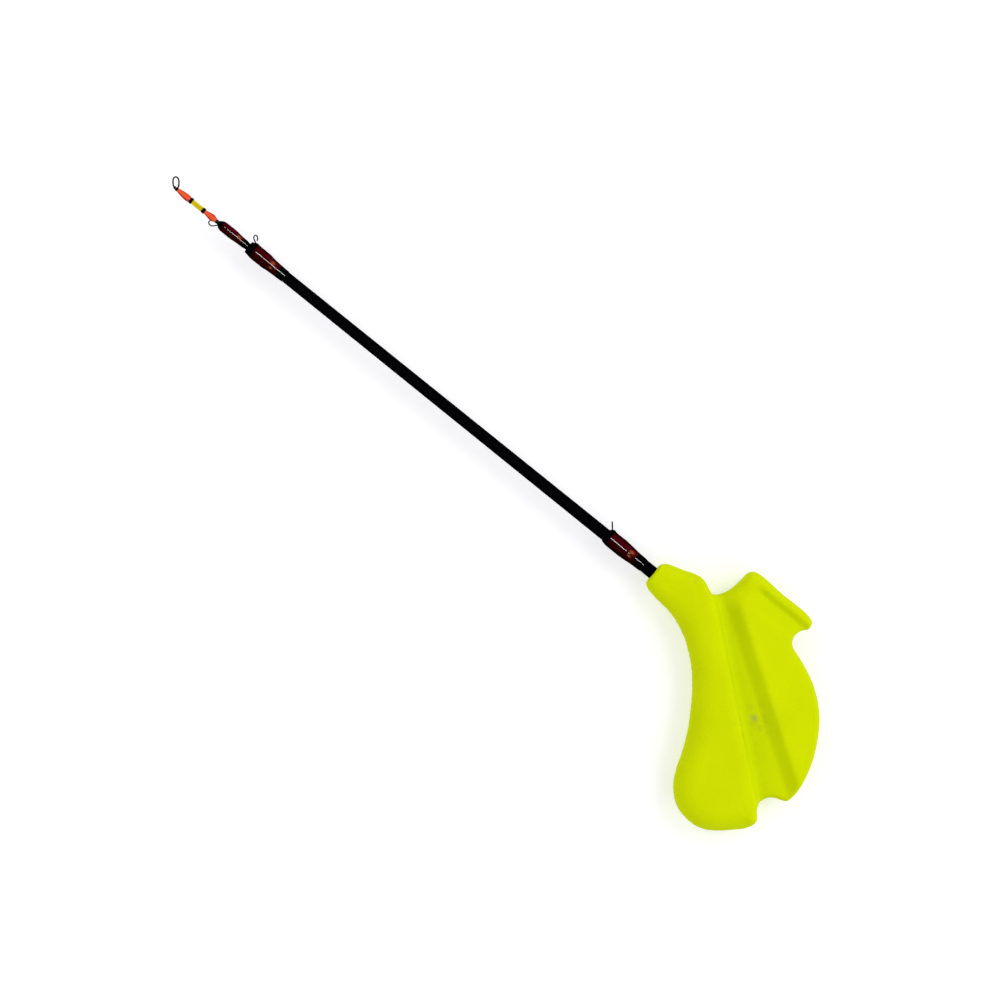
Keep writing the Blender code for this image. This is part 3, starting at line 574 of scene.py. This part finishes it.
def relief(points, loop):
    """The foam's surface over its middle plane."""
    x, y = points.T
    along, across = ridge_coordinates(x, y)
    wall = CHANNEL_WIDTH + CHANNEL_SPREAD * along
    lobe = np.maximum(LOBE_CREST - LOBE_FALL * (across - wall), LOBE_LEAST)
    horn = smoothstep(*VALLEY_FADE, x)
    lobe = lobe - horn * VALLEY_DEPTH * smoothstep(VALLEY_FROM, VALLEY_AT, y)
    lobe = lobe + horn * BEAD_RISE * smoothstep(VALLEY_AT, BEAD_AT, y)
    dip = np.hypot(x - DIP_CENTRE[0], y - DIP_CENTRE[1])
    lobe = lobe - DIP_DEPTH * (1 - smoothstep(0, DIP_RADIUS, dip))
    mouth = loop[:, 0].min()
    grip = NECK_HALF + (SLAB_HALF - NECK_HALF) * smoothstep(0, NECK_TAPER, x - mouth)
    on_lobe = smoothstep(wall - RIGHT_WALL / 2, wall + RIGHT_WALL / 2, across)
    in_channel = smoothstep(-LEFT_WALL / 2, LEFT_WALL / 2, across)
    right = FLOOR_HALF + (np.minimum(lobe, SLAB_HALF) - FLOOR_HALF) * on_lobe
    height = grip + (right - grip) * in_channel
    sides = loop[loop[:, 0] > mouth + MOUTH_ROUND]
    gap = np.argmax(np.linalg.norm(np.roll(sides, -1, axis=0) - sides, axis=1)) + 1
    sides = np.roll(sides, -gap, axis=0)
    ends = [[mouth - NECK_TAPER, sides[0][1]], [mouth - NECK_TAPER, sides[-1][1]]]
    sides = np.vstack([ends[:1], sides, ends[1:]])
    radius = np.where(x - mouth < NECK_TAPER, np.minimum(GRIP_ROUND, grip), GRIP_ROUND)
    radius = radius + (LOBE_ROUND - radius) * smoothstep(*GRIP_FADE, across)
    return height * rounded(distance_to(points, sides), radius) * rounded(x - mouth, MOUTH_ROUND)


def handle():
    """The handle: two mirrored faces on a fine grid, grained, dented and bored for the blank."""
    loop, inward = nibbled(smooth_path(handle_outline(), OUTLINE_STEP, closed=True))
    ring = np.vstack([loop, loop[:1]])
    rows = []
    for inset in EDGE_ROWS:
        row = loop + inset * inward
        row = row[is_inside(row, loop)]
        rows.append(row[distance_to(row, ring) > ROW_FOLD * inset])
    low, high = loop.min(0), loop.max(0)
    columns = np.arange(low[0], high[0], GRID_STEP)
    grid = np.array([(x + GRID_STEP * (j % 2) / 2, y) for j, y in enumerate(
        np.arange(low[1], high[1], GRID_STEP * math.sqrt(3) / 2)) for x in columns])
    grid = grid[is_inside(grid, loop)]
    grid = grid[distance_to(grid, ring) > EDGE_ROWS[-1] + GRID_LEAST * GRID_STEP]
    points = np.vstack([loop, *rows, grid])
    edge = list(range(len(loop)))[::-1]
    found, _, faces, *_ = delaunay_2d_cdt([Vector(p) for p in points], [], [edge], 1, 1e-7)
    points = np.array(found)
    height = relief(points, loop)
    height[:len(loop)] = 0
    soft = smoothstep(0, GRAIN_FROM, distance_to(points, ring))
    for size, rise in GRAIN:
        height += soft * rise * np.array([grain_at((*p, size), size) for p in points])
    dent = np.hypot(*(points - DENT_AT).T)
    height -= DENT_DEPTH * np.exp(-(dent / DENT_ACROSS) ** 2)
    middle = AXIS.z
    count = len(points)
    under = [i if i < len(loop) else i + count - len(loop) for i in range(count)]
    top = [(*p, middle + h) for p, h in zip(points, height)]
    bottom = [(*p, middle - h) for p, h in zip(points[len(loop):], height[len(loop):])]
    mesh = bpy.data.meshes.new("foam_handle")
    mesh.from_pydata(top + bottom, [], faces + [[under[i] for i in f][::-1] for f in faces])
    mesh.update()
    piece = new_piece("foam_handle", mesh, FOAM, None)
    bore(piece)
    return piece


def bore(piece):
    """Cuts the blank's hole: a lip that is snug round the blank, and the bore behind it."""
    low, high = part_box("handle_adhesive")
    wide = (high.y - low.y) / 2 + BORE_GAP
    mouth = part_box("handle_body")[0].x
    snug = profile("blank_tube")[0][1] + LIP_GAP
    lip = -(mouth + LIP_LENGTH)
    steps = [(-high.x, wide), (lip - LIP_CONE, wide), (lip, snug), (-mouth + MM, snug)]
    mesh = turned("bore", [s for s, _ in steps], lambda s, a: dict(steps)[s])
    cutter = bpy.data.objects.new("bore", mesh)
    bpy.context.scene.collection.objects.link(cutter)
    boolean = piece.modifiers.new("bore", "BOOLEAN")
    boolean.object = cutter
    cut = applied(piece)
    cut.shade_smooth()
    cut.set_sharp_from_angle(angle=CREASE)
    bpy.data.objects.remove(cutter)


# ---- turned pieces


def profile(node, inside=False):
    """Distance towards the tip and radius of a turned CAD node's outer, or inner, corners."""
    work = node_mesh(node)
    places = {}
    for vert in work.verts:
        at = round(-vert.co.x, 6)
        radius = math.hypot(vert.co.y - AXIS.y, vert.co.z - AXIS.z)
        places.setdefault(at, []).append(radius)
    work.free()
    pick = min if inside else max
    return sorted((at, pick(radii)) for at, radii in places.items())


def around(station, radius):
    """A ring of (station, radius, angle) round the rod, the angle from +Z towards +Y."""
    angles = np.linspace(0, 2 * math.pi, ROUND, endpoint=False)
    return [(station, radius(station, a) if callable(radius) else radius, a) for a in angles]


def ring_mesh(name, rings, closed):
    """A mesh through rings round the rod. Closed, it runs on from the last ring to the first, and
    else its ends are capped."""
    verts = [(-s, AXIS.y + r * math.sin(a), AXIS.z + r * math.cos(a))
             for ring in rings for s, r, a in ring]
    count = len(rings)
    faces = [
        (p * ROUND + k, p * ROUND + (k + 1) % ROUND, q * ROUND + (k + 1) % ROUND, q * ROUND + k)
        for p, q in zip(range(count), [*range(1, count), *([0] if closed else [])])
        for k in range(ROUND)
    ]
    if not closed:
        faces += [tuple(range(ROUND)), tuple((count - 1) * ROUND + k for k in range(ROUND))[::-1]]
    mesh = bpy.data.meshes.new(name)
    mesh.from_pydata(verts, [], faces)
    work = bmesh.new()
    work.from_mesh(mesh)
    bmesh.ops.recalc_face_normals(work, faces=work.faces)
    work.to_mesh(mesh)
    work.free()
    return mesh


def turned(name, stations, radius, bore_radius=None):
    """A solid with radius(station, angle) round the rod's axis, or with a bore a tube."""
    rings = [around(s, radius) for s in stations]
    if bore_radius is not None:
        rings += [around(s, bore_radius) for s in (stations[-1], stations[0])]
    return ring_mesh(name, rings, bore_radius is not None)


def spaced(start, end, step):
    return np.linspace(start, end, max(2, math.ceil((end - start) / step) + 1))


def lathe(name, node, material, body, wobble=0.0, bore=True):
    """A smooth turned piece through the corners of a CAD node's profile."""
    corners = profile(node)
    path = smooth_path(corners, ALONG_STEP) if len(corners) > 4 else np.array(corners)
    at, radii = path.T
    inner = min(r for _, r in profile(node, inside=True))

    def radius(station, angle):
        place = (station, math.cos(angle) * MM, math.sin(angle) * MM)
        return float(np.interp(station, at, radii)) + wobble * grain_at(place, WAVE_SIZE)

    stations = sorted({*np.round(at, 7), *np.round(spaced(at[0], at[-1], ALONG_STEP * 2), 7)})
    mesh = turned(name, stations, radius, inner if bore and inner > BORE_LEAST else None)
    new_piece(name, mesh, material, body, [node])
    mesh.set_sharp_from_angle(angle=SHARP)


# ---- wraps


class Wrap:
    """A wrap: thread under a coat, a smooth spindle with a ridge over the guide's foot and a
    mound where its wire comes out. A painted warm highlight on its coat is (station, across, up,
    size)."""

    def __init__(self, name, guide_turn, painted_glints):
        self.name, self.turn, self.painted_glints = name, guide_turn, painted_glints
        rear, front = (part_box(f"{name}_{part}") for part in ("trim_rear", "trim_front"))
        self.start, self.end = -rear[1].x, -front[0].x
        self.red = [-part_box(f"{name}_wrap_thread")[side].x for side in (1, 0)]
        self.foot = -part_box(f"{name}_guide")[1].x
        self.exit = self.foot + GUIDE_FOOT
        self.least = min(r for _, r in profile(f"{name}_trim_rear", inside=True)) + END_HEIGHT
        corners = profile(f"{name}_epoxy")
        self.coat_end = corners[-1][0]
        at, radii = np.array(corners).T
        self.at = spaced(at[0], at[-1], ALONG_STEP)
        raw = np.interp(self.at, at, radii)
        reach = math.ceil(SMOOTHING / (self.at[1] - self.at[0]))
        kernel = np.hanning(2 * reach + 1)
        before, after = 2 * raw[0] - raw[reach:0:-1], 2 * raw[-1] - raw[-2:-reach - 2:-1]
        padded = np.concatenate([before, raw, after])
        self.radii = np.convolve(padded, kernel / kernel.sum(), "valid")
        self.capped = self.coat_end > self.end + CAP_LEAST
        if self.capped:
            share = np.clip((self.at - self.coat_end + BLUNT_FROM) / BLUNT_FROM, 0, 1)
            blunt = BLUNT_RADIUS * (1 - share ** BLUNT_POWER) ** (1 / BLUNT_POWER)
            self.radii = np.where(share > 0, np.minimum(self.radii, blunt), self.radii)

    def surface(self, station, angle):
        radius = float(np.interp(station, self.at, self.radii))
        thin = 1 - smoothstep(0, END_FADE, station - self.at[0])
        radius += (self.least - radius) * thin ** END_POWER
        off = (angle - self.turn + math.pi) % (2 * math.pi) - math.pi
        over_foot = smoothstep(self.foot - FOOT_FADE / 2, self.foot + FOOT_FADE, station)
        over_foot *= 1 - smoothstep(self.exit, self.exit + FOOT_FADE, station)
        radius += FOOT_RIDGE * over_foot * math.exp(-(off / FOOT_SPREAD) ** 2)
        reach = ((station - self.exit) / MOUND_ALONG) ** 2 + (off / MOUND_ROUND) ** 2
        radius += MOUND_RISE * math.exp(-reach)
        place = (station, math.cos(angle) * SAG_ROUND, math.sin(angle) * SAG_ROUND)
        inset = min(1, (station - self.start) / MM, abs(self.coat_end - station) / MM)
        return radius + SAG * grain_at(place, SAG_SIZE) * inset

    def winding(self, part, start, end, material):
        """Thread, one turn beside the other, under the coat."""
        name = f"{self.name}_{part}"
        bore = min(r for _, r in profile(name, inside=True))

        def radius(station, angle):
            turn = (station / THREAD_PITCH + angle / (2 * math.pi)) % 1
            rise = THREAD_RISE * (math.sin(math.pi * turn) - 1)
            return max(self.surface(station, angle) - EPOXY + rise, bore + THREAD_LEAST)

        mesh = turned(name, spaced(start, end, THREAD_PITCH / THREAD_STEPS), radius, bore)
        new_piece(f"{name}_fine", mesh, material, "rod", [name])

    def coat(self):
        """The coat over the windings, in the colours that they have through it. Its inner face
        lies just over the thread."""
        name = f"{self.name}_epoxy"

        def inside(station, angle):
            return self.surface(station, angle) - EPOXY + COAT_LAP

        rings = [around(s, self.surface) for s in self.at]
        if self.capped:
            hole = min(r for _, r in profile(name, inside=True))
            rings += [around(s, hole) for s in (self.coat_end, self.end + CAP_GAP)]
        rings += [around(s, inside) for s in reversed(spaced(self.at[0], self.end, ALONG_STEP))]
        painted_glints = [((-s, AXIS.y + y, AXIS.z + z), size) for s, y, z, size in self.painted_glints]
        shown = lacquered(self.name, self.red, painted_glints)
        mesh = ring_mesh(name, rings, True)
        new_piece(f"{name}_fine", mesh, shown, "rod", [name])

    def build(self):
        self.winding("trim_rear", self.start, self.red[0], BLACK_THREAD)
        self.winding("wrap_thread", self.red[0], self.red[1], RED_THREAD)
        self.winding("trim_front", self.red[1], self.end, BLACK_THREAD)
        self.coat()


def smooth_wire(name, node, material, body, swell):
    """A round, smooth copy of a wire node, swollen by what the smoothing takes off."""
    work = node_mesh(node)
    bmesh.ops.join_triangles(
        work, faces=work.faces, angle_face_threshold=0.8, angle_shape_threshold=1.2)
    mesh = bpy.data.meshes.new(name)
    work.to_mesh(mesh)
    work.free()
    piece = new_piece(name, mesh, material, body, [node])
    finer = piece.modifiers.new("finer", "SUBSURF")
    finer.levels = finer.render_levels = 2
    fine = applied(piece)
    work = bmesh.new()
    work.from_mesh(fine)
    work.normal_update()
    for vert in work.verts:
        vert.co += vert.normal * swell
    work.to_mesh(fine)
    work.free()
    fine.shade_smooth()


# ---- the rod

foam_handle = handle()
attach(foam_handle, "rod")
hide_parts("handle_body")

lathe("blank_fine", "blank_tube", BLANK, "rod")
# The last entries of each wrap are painted warm highlights on its coat.
for wrap_name, guide_angle, painted_warm_glints in (
    ("lower", 90, [(82.2 * MM, 1.3 * MM, 3.6 * MM, 1.3 * MM),
                   (82.4 * MM, -0.9 * MM, 3.7 * MM, 0.9 * MM)]),
    ("middle", 90, [(303 * MM, 1.3 * MM, 3.5 * MM, 1.2 * MM),
                    (302.6 * MM, -1.3 * MM, 3.5 * MM, 0.8 * MM)]),
    ("tip", 205, [(323.6 * MM, 0.8 * MM, 2.4 * MM, 1.1 * MM)]),
):
    Wrap(wrap_name, math.radians(guide_angle), painted_warm_glints).build()
    guide = f"{wrap_name}_guide"
    smooth_wire(f"{guide}_fine", guide, STEEL, "rod", GUIDE_SWELL)

lathe("indicator_rear", "nod_sleeve_rear", NOD_RED, "nod", 0.05 * MM)
lathe("indicator_band_rear", "nod_band_rear", NOD_BLACK, "nod")
lathe("indicator_middle", "nod_sleeve_middle", NOD_YELLOW, "nod", 0.02 * MM)
lathe("indicator_band_front", "nod_band_front", NOD_BLACK, "nod")
lathe("indicator_front", "nod_sleeve_front", NOD_RED, "nod", 0.05 * MM)
lathe("indicator_collar", "nod_collar", NOD_BLACK, "nod", bore=False)
smooth_wire("indicator_ring", "nod_ring", SPRING, "nod", RING_SWELL)


def spring_wire():
    """The indicator's spring wire in one piece, across the joint."""
    root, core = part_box("nod_core_root"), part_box("nod_core")
    start, end = -root[1].x, -core[0].x
    thin = (core[1].y - core[0].y) / 2
    bend_from = -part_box("tip_epoxy")[0].x
    bend_to = -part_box("nod_sleeve_rear")[1].x

    def radius(station, angle):
        """Thin, with the soft black neck between the tip's coat and the rear sleeve."""
        covered = smoothstep(bend_from - NECK_START[0], bend_from - NECK_START[1], station)
        covered *= 1 - smoothstep(bend_to + NECK_END[0], bend_to + NECK_END[1], station)
        return float(thin + (NECK_RADIUS - thin) * covered)

    mesh = turned("spring_wire", spaced(start, end, ALONG_STEP / 3), radius)
    wire = new_piece("spring_wire_fine", mesh, SPRING, None)
    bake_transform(wire)
    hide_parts("nod_core_root", "nod_core")


spring_wire()

for node, material in (("tip_rod", BLANK), ("handle_adhesive", GLUE)):
    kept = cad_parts[node]
    kept.data.materials.clear()
    kept.data.materials.append(material)


# ---- stage


def stage():
    """A pale floor under the rod."""
    mesh = bpy.data.meshes.new("floor")
    work = bmesh.new()
    bmesh.ops.create_grid(work, x_segments=1, y_segments=1, size=FLOOR_REACH)
    work.to_mesh(mesh)
    work.free()
    floor = bpy.data.objects.new("floor", mesh)
    bpy.context.scene.collection.objects.link(floor)
    floor.location = (CAMERA_AT[0], CAMERA_AT[1], cad_box[0][2] - FLOOR_GAP)
    shader = Shader("floor", (0.72, 0.72, 0.72), 0.9, Specular_IOR_Level=0.0,
                    Emission_Strength=FLOOR_GLOW)
    shader.set("Emission Color", (0.98, 0.98, 1.0, 1))
    tint = shader.noise(6, 2.0)
    colour = shader.ramp(tint, (0.3, (0.71, 0.71, 0.72)), (0.7, (0.73, 0.73, 0.73)))
    shader.feed("Base Color", colour)
    mesh.materials.append(shader.material)
    floor.visible_glossy = False  # the rod's gloss shows the dark side of the studio


def lamp(name, direction, distance, size, power, target, in_gloss=False):
    """A soft light that faces the target, and shows either on it or only in its gloss."""
    data = bpy.data.lights.new(name, "AREA")
    data.shape = "RECTANGLE"
    data.size, data.size_y = size
    data.energy = power
    light = bpy.data.objects.new(name, data)
    way = Vector(direction).normalized()
    light.location = Vector(target) + way * distance
    light.rotation_euler = way.to_track_quat("Z", "Y").to_euler()
    light.visible_glossy, light.visible_diffuse = in_gloss, not in_gloss
    bpy.context.scene.collection.objects.link(light)


def lights():
    def aimed(azimuth, tilt):
        """A direction from its angle from +X towards +Y and its angle from straight up."""
        azimuth, tilt = math.radians(azimuth), math.radians(tilt)
        flat = math.sin(tilt)
        return (math.cos(azimuth) * flat, math.sin(azimuth) * flat, math.cos(tilt))

    centre = (CAMERA_AT[0], CAMERA_AT[1], 0)
    lamp("key", aimed(63.9, 42), LAMP_AWAY, LAMP_SIZE, 13, centre)
    lamp("fill_handle", aimed(0, 45), LAMP_AWAY, LAMP_SIZE, 6, centre)
    lamp("fill_tip", aimed(180, 45), LAMP_AWAY, LAMP_SIZE, 6, centre)
    lamp("glint", aimed(90, 9), GLINT_AWAY, GLINT_SIZE, 14, centre, in_gloss=True)
    world = bpy.data.worlds.new("studio")
    bpy.context.scene.world = world
    world.use_nodes = True
    world.cycles_visibility.glossy = False
    nodes, links = world.node_tree.nodes, world.node_tree.links
    place = nodes.new("ShaderNodeTexCoord")
    split = nodes.new("ShaderNodeSeparateXYZ")
    ramp = nodes.new("ShaderNodeValToRGB")
    ramp.color_ramp.elements[0].color = (0.93, 0.93, 1.0, 1)
    ramp.color_ramp.elements[1].color = (1.0, 1.0, 1.0, 1)
    links.new(place.outputs["Generated"], split.inputs[0])
    links.new(split.outputs["Z"], ramp.inputs["Fac"])
    links.new(ramp.outputs["Color"], nodes["Background"].inputs["Color"])
    nodes["Background"].inputs["Strength"].default_value = WORLD_LIGHT


def camera():
    data = bpy.data.cameras.new("camera")
    data.lens, data.sensor_width = LENS, SENSOR
    data.clip_end = CLIP_END
    eye = bpy.data.objects.new("camera", data)
    eye.location = (*CAMERA_AT, AXIS.z + CAMERA_OVER)
    eye.rotation_euler = (0, 0, CAMERA_TURN)
    bpy.context.scene.collection.objects.link(eye)
    bpy.context.scene.camera = eye


stage()
lights()
camera()
bpy.context.scene.view_settings.view_transform = "Standard"
